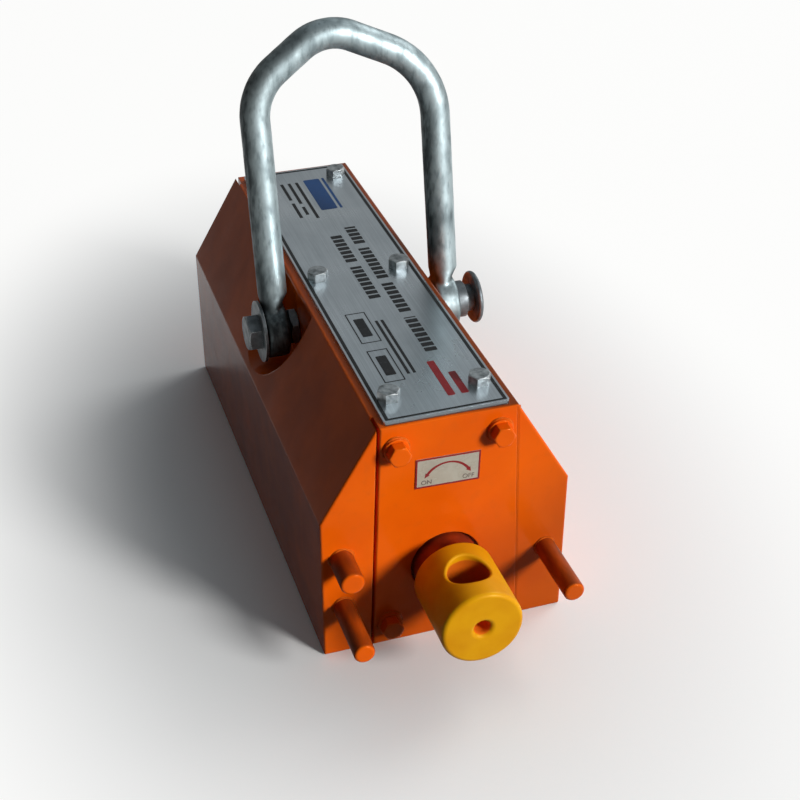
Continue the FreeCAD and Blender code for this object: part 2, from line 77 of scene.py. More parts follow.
ORANGE_NODES = (
    "left_pole_block", "right_pole_block", "front_cover", "rear_cover",
    "front_cover_bolts", "rear_cover_bolts", "front_cover_washers", "rear_cover_washers",
)
PIN_NODES = ("latch_pin", "on_stop_pin", "off_stop_pin")
PIVOT_NODES = (
    "left_pivot_bolt", "left_pivot_washer", "left_lock_nut",
    "right_pivot_pin", "right_pivot_sleeve", "right_lock_nut",
)
TURNED_NODES = (
    "core_upper_pole", "core_lower_pole", "rear_core_flange",
    "front_flange_screws", "rear_flange_screws", "hub_lock_pin",
)
MAGNET_NODES = ("fixed_magnets", "core_magnets")
BRONZE_NODES = ("rear_bush", "front_thrust_washer", "rear_thrust_washer", "bottom_spacer_strip")


def linear(code):
    """Linear colour of an sRGB hex value."""
    levels = [int(code[i:i + 2], 16) / 255 for i in (1, 3, 5)]
    return tuple(v / 12.92 if v <= 0.04045 else ((v + 0.055) / 1.055) ** 2.4 for v in levels)


def per_metre(millimetres):
    """Scale of a pattern whose marks are that far apart."""
    return 1 / (millimetres * MM)


def feed(node, inputs):
    """Set a node's inputs, each a value, an output or a node that stands for its first output."""
    for key, value in inputs.items():
        socket = node.inputs[key]
        if isinstance(value, bpy.types.Node):
            value = next(output for output in value.outputs if output.enabled)
        if isinstance(value, bpy.types.NodeSocket):
            node.id_data.links.new(value, socket)
        elif socket.type == "RGBA":
            socket.default_value = (*value, 1.0)
        else:
            socket.default_value = value


def add(tree, kind, inputs=None, **settings):
    """Add a node with its own settings and its inputs."""
    node = tree.nodes.new("ShaderNode" + kind)
    for name, value in settings.items():
        setattr(node, name, value)
    feed(node, inputs or {})
    return node


def new_material(name):
    """Empty material with a shader and its output, and the place on the object."""
    material = bpy.data.materials.new(name)
    material.use_nodes = True
    tree = material.node_tree
    tree.nodes.clear()
    shader = add(tree, "BsdfPrincipled")
    add(tree, "OutputMaterial", {"Surface": shader})
    return material, tree, shader, add(tree, "TexCoord").outputs["Object"]


def cover(tree, under, over, pattern, low, high, most=1.0):
    """Lay one colour over another as a pattern goes from low to high, up to a share of most."""
    share = add(tree, "MapRange",
                {"Value": pattern, "From Min": low, "From Max": high, "To Max": most})
    return add(tree, "Mix", {SHARE: share, UNDER: under, OVER: over}, data_type="RGBA")


def soft_edges(tree, radius):
    """Normals rounded off at the edges, the flat ones, and how far the two agree."""
    soft = add(tree, "Bevel", {"Radius": radius}, samples=4)
    flat = add(tree, "NewGeometry").outputs["True Normal"]
    return soft, flat, add(tree, "VectorMath", {0: soft, 1: flat}, operation="DOT_PRODUCT")


def colour_setting(name, description, code):
    """Setting for a colour, with an sRGB hex value as its default."""
    return FloatVectorProperty(name=name, description=description, subtype="COLOR", size=3,
                               default=linear(code))


def length_setting(name, description, millimetres):
    """Setting for a length."""
    return FloatProperty(name=name, description=description, subtype="DISTANCE", unit="LENGTH",
                         default=millimetres * MM)


def power_setting(name, description, watts):
    """Setting for a lamp's power."""
    return FloatProperty(name=name, description=description, subtype="POWER", unit="POWER",
                         default=watts)


class EnamelSettings(bpy.types.PropertyGroup):
    """Paint of the body, the pins and the hub."""
    orange: colour_setting("Orange", "Full coat on the body", "#e45d06")
    orange_deep: colour_setting("Deep orange", "Where the coat runs thick", "#cf4c06")
    yellow: colour_setting("Yellow", "Full coat on the lever hub", "#d69707")
    yellow_deep: colour_setting("Deep yellow", "Where the hub's coat runs thick", "#c47d05")
    bead: length_setting(
        "Paint bead", "Size of the paint gathered at the foot of bolts and pins", 0.9)


class SteelSettings(bpy.types.PropertyGroup):
    """Zinc on the shackle and the fasteners."""
    zinc_light: colour_setting("Light zinc", "Fresh galvanising", "#aebdc0")
    zinc_dark: colour_setting("Dark zinc", "Dull patches of the galvanising", "#4d585c")
    plating: colour_setting("Plating", "Zinc plating of bolts and washers", "#b4babc")
    # The pivots' plating is a darker copy of the bolts' plating, painted shade
    darker_plating: colour_setting("Darker plating", "Darker plating of the shackle's pivots, painted shade", "#777d80")
    lump: length_setting("Zinc lumps", "Height of the lumps in the galvanising", 0.32)
    grid: length_setting("Coat grid", "Mesh spacing of the galvanised coat", 1.1)


class PrintSettings(bpy.types.PropertyGroup):
    """Nameplate and switch label."""
    plate: colour_setting("Plate", "Satin aluminium of the nameplate", "#c9d2d7")
    black: colour_setting("Black ink", "Dark print", "#0e1113")
    blue: colour_setting("Blue ink", "Blue field of the nameplate", "#143f70")
    red: colour_setting("Red ink", "Red print", "#7c1016")
    film: colour_setting("Label film", "Pale field of the switch label", "#a8a293")
    ink: length_setting("Ink", "Thickness of the print", 0.1)


class StageSettings(bpy.types.PropertyGroup):
    """Floor, lamps and camera."""
    floor: colour_setting("Floor", "Pale paper floor", "#f2f1ef")
    floor_bounce: colour_setting(
        "Floor bounce", "Floor as the light that it throws back meets it", "#5f5d5b")
    key_power: power_setting("Key lamp", "Soft lamp at the front right", 163.0)
    side_power: power_setting("Side lamp", "Broad lamp at the back right", 30.0)
    room_light: colour_setting(
        "Light side of the room", "Room behind and to the right", "#aab3b9")
    room_dark: colour_setting(
        "Dark side of the room", "Room in front and to the left", "#232120")
    room_far: colour_setting("Far room", "Where the floor runs out into the room", "#a09e9c")
    camera_place: FloatVectorProperty(
        name="Camera", description="Where the camera stands", subtype="TRANSLATION",
        unit="LENGTH", size=3, default=(-0.263, -0.893, 0.677))
    camera_aim: FloatVectorProperty(
        name="Aim", description="Direction that the camera looks in", subtype="DIRECTION",
        size=3, default=(0.2615, 0.794, -0.5487))
    lens: FloatProperty(
        name="Lens", description="Focal length on a 36 mm sensor", unit="CAMERA", default=66.52)


def orange_enamel(settings, pin_darkening=0.0):
    """Alkyd enamel sprayed on steel: a wet gloss with faint orange peel on an uneven coat.

    The pins get brown patches on their sides, partly dirt and partly painted shade."""
    name = "alkyd_enamel_orange_pin_darkened" if pin_darkening else "alkyd_enamel_orange_sprayed"
    if name in bpy.data.materials:
        return bpy.data.materials[name]
    material, tree, shader, place = new_material(name)
    # The coat is thick and deep in some hand-sized areas and thin in others
    coat = add(tree, "TexNoise", {"Vector": place, "Scale": per_metre(55), "Detail": 3.0})
    paint = cover(tree, settings.orange, settings.orange_deep, coat, 0.38, 0.68, 0.55)
    # Brush-sized streaks where it was wiped, drawn coarser than real so that they show
    wipe_place = add(tree, "Mapping", {"Vector": place, "Scale": (1.0, 0.25, 1.0)})
    wipe = add(tree, "TexNoise", {"Vector": wipe_place, "Scale": per_metre(7), "Detail": 4.0})
    dusty = cover(tree, paint, linear("#b8561f"), wipe, 0.55, 0.8, 0.2)
    # Thin coat on the sharp edges shows a little paler
    soft, flat, agree = soft_edges(tree, 1.4 * MM)
    worn = cover(tree, dusty, linear("#ec7a2e"), agree, 0.985, 0.8, 0.5)
    # Painted shade on the narrow flats beside the nameplate, stronger on the right where they are
    # lit
    axes = add(tree, "SeparateXYZ", {0: place})
    height = axes.outputs["Z"]
    ledge = add(tree, "MapRange",
                {"Value": height, "From Min": TOP - 1.0 * MM, "From Max": TOP - 0.2 * MM})
    right = add(tree, "MapRange",
                {"Value": axes.outputs["X"], "From Max": 40 * MM, "To Min": 0.1, "To Max": 0.85})
    ledge_shade = add(tree, "Math", {0: ledge, 1: right}, operation="MULTIPLY")
    # The pins' sides are darkened in patches and their ends left clean, partly dirt and partly
    # painted shade
    facing = add(tree, "SeparateXYZ", {0: flat})
    shank = add(tree, "MapRange", {"Value": facing.outputs["Y"], "From Min": -0.9,
                                   "From Max": -0.4, "To Max": pin_darkening})
    rubbed = add(tree, "MapRange",
                 {"Value": wipe, "From Min": 0.25, "From Max": 0.65, "To Min": 0.55})
    pin_dirt_and_shade = add(tree, "Math", {0: shank, 1: rubbed}, operation="MULTIPLY")
    # The left flank is darkened in blotches, partly smudges and partly painted shade
    flank = add(tree, "MapRange",
                {"Value": facing.outputs["X"], "From Min": -0.4, "From Max": -0.7})
    flank_blotches = add(tree, "MapRange",
                 {"Value": coat, "From Min": 0.35, "From Max": 0.68, "To Max": 0.26})
    flank_smudge_and_shade = add(tree, "Math", {0: flank, 1: flank_blotches}, operation="MULTIPLY")
    # Painted shade darkens the front towards its lower right corner, and the pins' ends less
    lower_right = (0.9, 0.0, -1.0)
    corner = add(tree, "VectorMath", {0: place, 1: lower_right}, operation="DOT_PRODUCT")
    dull = add(tree, "MapRange", {"Value": corner, "From Min": -80 * MM, "From Max": 0.0,
                                  "To Max": 0.43 - 0.15 * pin_darkening})
    front = add(tree, "MapRange",
                {"Value": facing.outputs["Y"], "From Min": -0.6, "From Max": -0.9})
    dulled = add(tree, "Math", {0: dull, 1: front}, operation="MULTIPLY")
    # The painted shade and the dirt above are laid on in one brown
    dirt_and_shade = ledge_shade
    for other in (flank_smudge_and_shade, pin_dirt_and_shade, dulled):
        dirt_and_shade = add(tree, "Math", {0: dirt_and_shade, 1: other}, operation="MAXIMUM")
    dirtied_and_shaded = add(tree, "Mix", {SHARE: dirt_and_shade, UNDER: worn, OVER: linear("#5a2a12")},
                 data_type="RGBA")
    # Ground bare steel below, its lines drawn 1.2 mm apart, wider than real, so that they show
    ground = add(tree, "MapRange",
                 {"Value": height, "From Min": 0.35 * MM, "From Max": 0.15 * MM})
    grind_place = add(tree, "Mapping", {"Vector": place, "Scale": (1.0, 0.02, 1.0)})
    grind = add(tree, "TexNoise", {"Vector": grind_place, "Scale": per_metre(1.2)})
    steel = add(tree, "Mix", {SHARE: grind, UNDER: linear("#6f7172"), OVER: linear("#a9abab")},
                data_type="RGBA")
    colour = add(tree, "Mix", {SHARE: ground, UNDER: dirtied_and_shaded, OVER: steel}, data_type="RGBA")
    smear = add(tree, "TexNoise", {"Vector": place, "Scale": per_metre(22), "Detail": 5.0})
    gloss = add(tree, "MapRange", {"Value": smear, "From Min": 0.3, "From Max": 0.75,
                                   "To Min": 0.1, "To Max": 0.22})
    matted = add(tree, "Mix", {SHARE: pin_dirt_and_shade, FIRST: gloss, SECOND: 0.55})
    rough = add(tree, "Mix", {SHARE: ground, FIRST: matted, SECOND: 0.34})
    # Long waves of the coat, and the orange peel on them
    ripple = add(tree, "TexNoise", {"Vector": place, "Scale": per_metre(34), "Detail": 1.0})
    waves = add(tree, "Bump", {"Height": ripple, "Strength": 0.6, "Distance": 0.35 * MM,
                               "Normal": soft})
    peel = add(tree, "TexNoise", {"Vector": place, "Scale": per_metre(1.8), "Detail": 1.0})
    skin = add(tree, "Bump", {"Height": peel, "Strength": 0.35, "Distance": 0.03 * MM,
                              "Normal": waves})
    # The left side's reflection is turned down too, as part of its painted shade
    mirror = add(tree, "MapRange", {"Value": flank, "To Min": 0.5, "To Max": 0.2})
    feed(shader, {"Base Color": colour, "Metallic": ground, "Roughness": rough, "Normal": skin,
                  "IOR": 1.3, "Specular IOR Level": mirror, "Specular Tint": linear("#ffa35c")})
    return material


def shaded_red_primer():
    """Red oxide primer brushed on turned steel: dull dark brown as painted shade in the groove,
    blotched where oil soaked in.
    """
    material, tree, shader, place = new_material("red_oxide_primer_shaded")
    blotch = add(tree, "TexNoise", {"Vector": place, "Scale": per_metre(9), "Detail": 4.0})
    colour = cover(tree, linear("#8c2c0a"), linear("#661b05"), blotch, 0.35, 0.7)
    rough = add(tree, "MapRange", {"Value": blotch, "From Min": 0.3, "From Max": 0.7,
                                   "To Min": 0.4, "To Max": 0.65})
    # Grain of the pigment, drawn coarser than real so that it shows
    grain = add(tree, "TexNoise", {"Vector": place, "Scale": per_metre(1.1), "Detail": 2.0})
    skin = add(tree, "Bump", {"Height": grain, "Strength": 0.35, "Distance": 0.05 * MM})
    feed(shader, {"Base Color": colour, "Roughness": rough, "Normal": skin, "IOR": 1.35})
    return material


def yellow_enamel(settings):
    """Alkyd enamel brushed over an orange first coat: a half gloss with faint brush marks.

    The first coat still shows inside the holes."""
    material, tree, shader, place = new_material("alkyd_enamel_yellow_brushed")
    height = add(tree, "SeparateXYZ", {0: place}).outputs["Z"]
    ragged = add(tree, "TexNoise", {"Vector": place, "Scale": per_metre(4), "Detail": 2.0})
    fringe = add(tree, "Math", {0: ragged, 1: 1.2 * MM}, operation="MULTIPLY")
    # Reach of the first coat round the axis of each hole
    bare = []
    for mount, drop in ((SOCKET, (1.0, 1.0, 0.0)), (CLAMP, (1.0, 0.0, 1.0))):
        offset = add(tree, "VectorMath", {0: place, 1: mount["pos_m"]}, operation="SUBTRACT")
        across = add(tree, "VectorMath", {0: offset, 1: drop}, operation="MULTIPLY")
        radius = add(tree, "VectorMath", {0: across}, operation="LENGTH")
        reach = add(tree, "Math", {0: radius, 1: fringe}, operation="SUBTRACT")
        wall = mount["dims"]["r_mm"]
        bare.append(add(tree, "MapRange", {"Value": reach, "From Min": (wall + 0.1) * MM,
                                           "From Max": (wall - 0.3) * MM}))
    # In the socket the yellow reaches a little way down from the mouth
    yellow_foot, first_coat, hub_middle = 82 * MM, 80.6 * MM, 43 * MM
    level = add(tree, "Math", {0: height, 1: fringe}, operation="ADD")
    deep = add(tree, "MapRange",
               {"Value": level, "From Min": yellow_foot, "From Max": first_coat})
    above = add(tree, "Math", {0: height, 1: hub_middle}, operation="GREATER_THAN")
    down = add(tree, "Math", {0: deep, 1: above}, operation="MULTIPLY")
    in_socket = add(tree, "Math", {0: bare[0], 1: down}, operation="MULTIPLY")
    inside = add(tree, "Math", {0: in_socket, 1: bare[1]}, operation="MAXIMUM")
    coat = add(tree, "TexNoise", {"Vector": place, "Scale": per_metre(18), "Detail": 3.0})
    paint = cover(tree, settings.yellow, settings.yellow_deep, coat, 0.35, 0.7, 0.6)
    # Painted shade: the first coat in the socket is drawn browner than in the clamp hole
    first = add(tree, "Mix",
                {SHARE: in_socket, UNDER: linear("#dc6a16"), OVER: linear("#b9540f")},
                data_type="RGBA")
    colour = add(tree, "Mix", {SHARE: inside, UNDER: paint, OVER: first}, data_type="RGBA")
    smear = add(tree, "TexNoise", {"Vector": place, "Scale": per_metre(9), "Detail": 4.0})
    gloss = add(tree, "MapRange", {"Value": smear, "From Min": 0.3, "From Max": 0.7,
                                   "To Min": 0.38, "To Max": 0.52})
    # Brush marks run round the hub, drawn coarser than bristles so that they show
    brush_place = add(tree, "Mapping", {"Vector": place, "Scale": (0.15, 1.0, 0.15)})
    brush = add(tree, "TexNoise",
                {"Vector": brush_place, "Scale": per_metre(1.4), "Detail": 2.0})
    marks = add(tree, "Bump", {"Height": brush, "Strength": 0.3, "Distance": 0.06 * MM})
    feed(shader, {"Base Color": colour, "Roughness": gloss, "Normal": marks, "IOR": 1.4,
                  "Specular Tint": linear("#ffd27a")})
    return material


def galvanised_steel(settings):
    """Steel hot dipped in zinc: bright and dull patches with soft lumps and a grainy skin."""
    material, tree, shader, place = new_material("steel_hot_dip_galvanised")
    run_place = add(tree, "Mapping", {"Vector": place, "Scale": (1.0, 1.0, 0.45)})
    patch = add(tree, "TexNoise", {"Vector": run_place, "Scale": per_metre(11), "Detail": 4.0,
                                   "Distortion": 0.6})
    spangle = add(tree, "TexVoronoi", {"Vector": run_place, "Scale": per_metre(7)},
                  feature="SMOOTH_F1")
    both = add(tree, "Mix", {SHARE: 0.35, FIRST: patch, SECOND: spangle})
    zinc = cover(tree, settings.zinc_light, settings.zinc_dark, both, 0.4, 0.7, 0.75)
    # Small dark runs and flecks that the dipping leaves, drawn out along the legs
    fleck_place = add(tree, "Mapping", {"Vector": place, "Scale": (1.0, 1.0, 0.3)})
    fleck = add(tree, "TexNoise",
                {"Vector": fleck_place, "Scale": per_metre(3.2), "Detail": 5.0})
    flecked = cover(tree, zinc, linear("#4a5659"), fleck, 0.52, 0.7, 0.4)
    # Painted shade in streaks along the left-facing side of the bar
    facing = add(tree, "NewGeometry").outputs["Normal"]
    side = add(tree, "SeparateXYZ", {0: facing}).outputs["X"]
    turned = add(tree, "MapRange",
                 {"Value": side, "From Min": -0.2, "From Max": -0.85, "To Max": 0.9})
    streak = add(tree, "MapRange",
                 {"Value": fleck, "From Min": 0.35, "From Max": 0.6, "To Min": 0.75})
    left_side_shade = add(tree, "Math", {0: turned, 1: streak}, operation="MULTIPLY")
    left_shaded = add(tree, "Mix", {SHARE: left_side_shade, UNDER: flecked, OVER: linear("#1f2426")},
               data_type="RGBA")
    # Painted shade in streaks on the feet of the legs near the pivots, mostly the left one
    axes = add(tree, "SeparateXYZ", {0: place})
    low = add(tree, "MapRange",
              {"Value": axes.outputs["Z"], "From Min": 186 * MM, "From Max": 150 * MM},
              interpolation_type="SMOOTHSTEP")
    left = add(tree, "MapRange", {"Value": axes.outputs["X"], "From Min": 40 * MM,
                                  "From Max": -40 * MM, "To Min": 0.35})
    foot = add(tree, "Math", {0: low, 1: left}, operation="MULTIPLY")
    darkening = add(tree, "Math", {0: foot, 1: streak}, operation="MULTIPLY")
    colour = add(tree, "Mix", {SHARE: darkening, UNDER: left_shaded, OVER: linear("#3c4244")},
                 data_type="RGBA")
    rough = add(tree, "MapRange", {"Value": both, "From Min": 0.3, "From Max": 0.65,
                                   "To Min": 0.42, "To Max": 0.6})
    lump = add(tree, "TexNoise", {"Vector": place, "Scale": per_metre(7), "Detail": 2.0})
    soft = add(tree, "Bump", {"Height": lump, "Strength": 0.5, "Distance": 0.15 * MM})
    # The grain of the skin is drawn coarser than real so that it shows
    grain = add(tree, "TexNoise", {"Vector": place, "Scale": per_metre(1.4), "Detail": 2.0})
    skin = add(tree, "Bump", {"Height": grain, "Strength": 0.4, "Distance": 0.03 * MM,
                              "Normal": soft})
    feed(shader, {"Base Color": colour, "Metallic": 1.0, "Roughness": rough, "Normal": skin})
    return material


def plated_steel(name, light, dark):
    """Steel electroplated with zinc: a silver with faint cloudy tints and bright rubbed edges."""
    material, tree, shader, place = new_material(name)
    cloud = add(tree, "TexNoise", {"Vector": place, "Scale": per_metre(5), "Detail": 3.0})
    zinc = cover(tree, light, dark, cloud, 0.35, 0.7)
    soft, _, agree = soft_edges(tree, 0.6 * MM)
    rubbed = cover(tree, zinc, linear("#d9dcdc"), agree, 0.98, 0.8, 0.8)
    rough = add(tree, "MapRange", {"Value": cloud, "From Min": 0.3, "From Max": 0.7,
                                   "To Min": 0.4, "To Max": 0.56})
    # The grain is drawn coarser than real so that it shows
    grain = add(tree, "TexNoise", {"Vector": place, "Scale": per_metre(0.9), "Detail": 2.0})
    skin = add(tree, "Bump", {"Height": grain, "Strength": 0.3, "Distance": 0.03 * MM,
                              "Normal": soft})
    feed(shader, {"Base Color": rubbed, "Metallic": 1.0, "Roughness": rough, "Normal": skin})
    return material


def satin_aluminium(settings):
    """Aluminium sheet, brushed along its length and anodised: a soft grey sheen with fine lines.

    It has a few scratches."""
    material, tree, shader, place = new_material("aluminium_brushed_anodised")
    # Brushing lines are drawn 0.6 mm apart, wider than real, so that they show
    line_place = add(tree, "Mapping", {"Vector": place, "Scale": (1.0, 0.012, 1.0)})
    lines = add(tree, "TexNoise", {"Vector": line_place, "Scale": per_metre(0.6), "Detail": 2.0})
    cloud = add(tree, "TexNoise", {"Vector": place, "Scale": per_metre(40), "Detail": 4.0})
    tone = add(tree, "Mix", {SHARE: 0.5, FIRST: lines, SECOND: cloud})
    sheet = cover(tree, settings.plate, linear("#8b959b"), tone, 0.35, 0.65, 0.5)
    scratch_place = add(tree, "Mapping", {"Vector": place, "Rotation": (0.0, 0.0, 0.5),
                                          "Scale": (1.0, 0.04, 1.0)})
    scratch = add(tree, "TexNoise", {"Vector": scratch_place, "Scale": per_metre(5)})
    marked = cover(tree, sheet, linear("#d5dadc"), scratch, 0.7, 0.76, 0.18)
    # Its sheared front end is grey and dull
    flat = add(tree, "NewGeometry").outputs["True Normal"]
    along = add(tree, "SeparateXYZ", {0: flat}).outputs["Y"]
    sheared = cover(tree, marked, linear("#5f686d"), along, -0.5, -0.9, 0.75)
    rough = add(tree, "MapRange", {"Value": cloud, "From Min": 0.3, "From Max": 0.7,
                                   "To Min": 0.24, "To Max": 0.36})
    soft = add(tree, "Bevel", {"Radius": 0.5 * MM}, samples=4)
    skin = add(tree, "Bump", {"Height": lines, "Strength": 0.25, "Distance": 0.02 * MM,
                              "Normal": soft})
    feed(shader, {"Base Color": sheared, "Metallic": 1.0, "Roughness": rough, "Normal": skin})
    return material


def screen_ink(name, colour):
    """Screen printed ink: a flat film with tiny pinholes and a dull sheen."""
    material, tree, shader, place = new_material(name)
    # The pinholes are drawn coarser than real so that they show
    holes = add(tree, "TexNoise", {"Vector": place, "Scale": per_metre(2.2), "Detail": 4.0})
    worn = cover(tree, colour, linear("#6f7478"), holes, 0.55, 0.8, 0.22)
    rough = add(tree, "MapRange", {"Value": holes, "From Min": 0.3, "From Max": 0.7,
                                   "To Min": 0.5, "To Max": 0.65})
    skin = add(tree, "Bump", {"Height": holes, "Strength": 0.2, "Distance": 0.02 * MM})
    feed(shader, {"Base Color": worn, "Roughness": rough, "Normal": skin, "IOR": 1.4})
    return material


def label_film(settings):
    """Printed polyester film: smooth, a little yellowed, with a gloss that shows finger marks."""
    material, tree, shader, place = new_material("polyester_film_printed")
    darkening = add(tree, "TexNoise", {"Vector": place, "Scale": per_metre(9), "Detail": 4.0})
    colour = cover(tree, settings.film, linear("#91887a"), darkening, 0.4, 0.75, 0.6)
    rough = add(tree, "MapRange", {"Value": darkening, "From Min": 0.3, "From Max": 0.7,
                                   "To Min": 0.16, "To Max": 0.32})
    lift = add(tree, "TexNoise", {"Vector": place, "Scale": per_metre(12)})
    skin = add(tree, "Bump", {"Height": lift, "Strength": 0.4, "Distance": 0.15 * MM})
    feed(shader, {"Base Color": colour, "Roughness": rough, "Normal": skin})
    return material


def turned_metal(name, light, dark, sheen):
    """Metal turned on a lathe about the core's axis: fine rings that catch the light, oiled dull."""
    material, tree, shader, place = new_material(name)
    # The rings are drawn 0.7 mm apart, wider than real, so that they show
    ring_place = add(tree, "Mapping", {"Vector": place, "Scale": (0.05, 1.0, 0.05)})
    rings = add(tree, "TexNoise", {"Vector": ring_place, "Scale": per_metre(0.7), "Detail": 2.0})
    oil = add(tree, "TexNoise", {"Vector": place, "Scale": per_metre(16), "Detail": 4.0})
    tone = add(tree, "Mix", {SHARE: 0.6, FIRST: rings, SECOND: oil})
    colour = add(tree, "Mix", {SHARE: tone, UNDER: light, OVER: dark}, data_type="RGBA")
    rough = add(tree, "MapRange", {"Value": oil, "From Min": 0.3, "From Max": 0.7,
                                   "To Min": sheen, "To Max": sheen + 0.18})
    skin = add(tree, "Bump", {"Height": rings, "Strength": 0.3, "Distance": 0.03 * MM})
    feed(shader, {"Base Color": colour, "Metallic": 1.0, "Roughness": rough, "Normal": skin})
    return material


def rays_that_see(tree):
    """Rays that show the surroundings: the camera's, and those off gloss or through glass."""
    path = add(tree, "LightPath").outputs
    mirrored = add(tree, "Math", {0: path["Is Glossy Ray"], 1: path["Is Transmission Ray"]},
                   operation="MAXIMUM")
    return add(tree, "Math", {0: path["Is Camera Ray"], 1: mirrored}, operation="MAXIMUM")


def paper_floor(settings):
    """Matt rolled background paper: pale with a faint fibre, greyer far off.

    It throws little light back up."""
    material, tree, shader, place = new_material("paper_matt_rolled")
    # The fibre is drawn coarser than real so that it shows
    fibre = add(tree, "TexNoise", {"Vector": place, "Scale": per_metre(3), "Detail": 3.0})
    shade = tuple(0.985 * level for level in settings.floor)
    paper = add(tree, "Mix", {SHARE: fibre, UNDER: settings.floor, OVER: shade},
                data_type="RGBA")
    seen = rays_that_see(tree)
    lit = add(tree, "Mix", {SHARE: seen, UNDER: settings.floor_bounce, OVER: paper},
              data_type="RGBA")
    feed(shader, {"Base Color": lit, "Roughness": 0.95, "Specular IOR Level": 0.0})
    # Away from the part the paper shows as white, so its shadow fades out there
    round_part = add(tree, "Mapping", {"Vector": place, "Scale": (1.0, 0.6, 1.0)})
    off = add(tree, "VectorMath", {0: round_part}, operation="LENGTH")
    clear = add(tree, "MapRange",
                {"Value": off, "From Min": 0.14, "From Max": 0.38, "To Max": 0.96},
                interpolation_type="SMOOTHSTEP")
    white = add(tree, "Math", {0: clear, 1: seen}, operation="MULTIPLY")
    glow = add(tree, "Emission", {"Color": linear("#fefefd")})
    near = add(tree, "MixShader", {0: white, 1: shader, 2: glow})
    # Far off it runs out into the grey of the room without an edge, and sooner on the left
    far = add(tree, "VectorMath", {0: place}, operation="LENGTH")
    fade = add(tree, "MapRange", {"Value": far, "From Min": 1.2, "From Max": 4.5},
               interpolation_type="SMOOTHSTEP")
    across = add(tree, "VectorMath", {0: place, 1: (1.0, -0.1, 0.0)}, operation="DOT_PRODUCT")
    left = add(tree, "MapRange", {"Value": across, "From Min": -0.27, "From Max": -0.85},
               interpolation_type="SMOOTHERSTEP")
    either = add(tree, "Math", {0: fade, 1: left}, operation="MAXIMUM")
    gone = add(tree, "Math", {0: either, 1: seen}, operation="MULTIPLY")
    haze = add(tree, "Emission", {"Color": settings.room_far})
    whole = add(tree, "MixShader", {0: gone, 1: near, 2: haze})
    feed(tree.get_output_node("ALL"), {"Surface": whole})
    return material


def dress(nodes, material):
    """Give CAD nodes a finish."""
    for name in nodes:
        for slot in frame["nodes"][name].material_slots:
            slot.material = material


def row_ends(node, level, reach):
    """Lowest and highest x of a node's points near a height."""
    points = [vertex.co for vertex in frame["nodes"][node].data.vertices]
    row = [point.x for point in points if abs(point.z - level) < reach]
    return min(row), max(row)


def put(name, data):
    """Put an object with that data into the scene."""
    thing = bpy.data.objects.new(name, data)
    bpy.context.scene.collection.objects.link(thing)
    return thing


def look_from(holder, place, direction):
    """Stand a lamp or a camera at a place, looking in a direction."""
    holder.location = place
    holder.rotation_euler = direction.to_track_quat("-Z", "Y").to_euler()


def make_piece(name, mesh, material, body):
    """Put a mesh into the scene as a piece that rides on a body."""
    piece = put(name, mesh)
    mesh.materials.clear()
    mesh.materials.append(material)
    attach(piece, body)
    return piece


def mesh_of(name, bm, smooth=False):
    """Turn a worked mesh into mesh data."""
    bmesh.ops.recalc_face_normals(bm, faces=bm.faces)
    for face in bm.faces:
        face.smooth = smooth
    mesh = bpy.data.meshes.new(name)
    bm.to_mesh(mesh)
    bm.free()
    return mesh


def mesh_from(maker):
    """Mesh that a helper object comes to. The helper is taken away again."""
    bpy.context.view_layer.update()
    worked = maker.evaluated_get(bpy.context.evaluated_depsgraph_get())
    mesh = bpy.data.meshes.new_from_object(worked)
    bpy.data.objects.remove(maker)
    return mesh


def prism(bm, outline, height):
    """Raise a flat outline of 3-D points along a vector into a closed film."""
    low = [bm.verts.new(point) for point in outline]
    high = [bm.verts.new(point + height) for point in outline]
    bm.faces.new(low)
    bm.faces.new(high)
    for i in range(len(low)):
        j = (i + 1) % len(low)
        bm.faces.new((low[i], low[j], high[j], high[i]))


def rounded(low, high, corner):
    """Points round a rectangle with rounded corners."""
    steps = 4
    centres = ((high[0] - corner, high[1] - corner), (low[0] + corner, high[1] - corner),
               (low[0] + corner, low[1] + corner), (high[0] - corner, low[1] + corner))
    points = []
    for quarter, (x, y) in enumerate(centres):
        for step in range(steps + 1):
            angle = math.pi / 2 * (quarter + step / steps)
            points.append((x + corner * math.cos(angle), y + corner * math.sin(angle)))
    return points


def paint_bead(bm, centre, radius, size, phase):
    """Hollow fillet of paint round a foot that stands on a face looking along -Y."""
    turns = 64
    steps = 5
    swing = 0.3
    inner = radius - 0.2 * MM
    rows = []
    for turn in range(turns):
        angle = 2 * math.pi * turn / turns
        uneven = size * (1 + swing * math.sin(2 * angle + phase) * math.sin(3 * angle - phase))
        profile = [(inner, 0.0)]
        for step in range(steps + 1):
            sweep = math.pi / 2 * step / steps
            reach = radius + uneven * (1 - math.sin(sweep))
            profile.append((reach, uneven * (1 - math.cos(sweep))))
        profile.append((inner, uneven))
        out = Vector((math.cos(angle), 0, math.sin(angle)))
        rows.append([bm.verts.new(centre + out * reach + Vector((0, -rise, 0)))
                     for reach, rise in profile])
    for turn in range(turns):
        here, there = rows[turn], rows[(turn + 1) % turns]
        for i in range(len(here)):
            j = (i + 1) % len(here)
            bm.faces.new((here[i], here[j], there[j], there[i]))


class LIFTER_OT_body(bpy.types.Operator):
    """Paint the pole blocks, the end covers and their bolts"""
    bl_idname = "lifter.body"
    bl_label = "Body"

    def execute(self, context):
        dress(ORANGE_NODES, orange_enamel(context.scene.lifter_enamel))
        return {"FINISHED"}


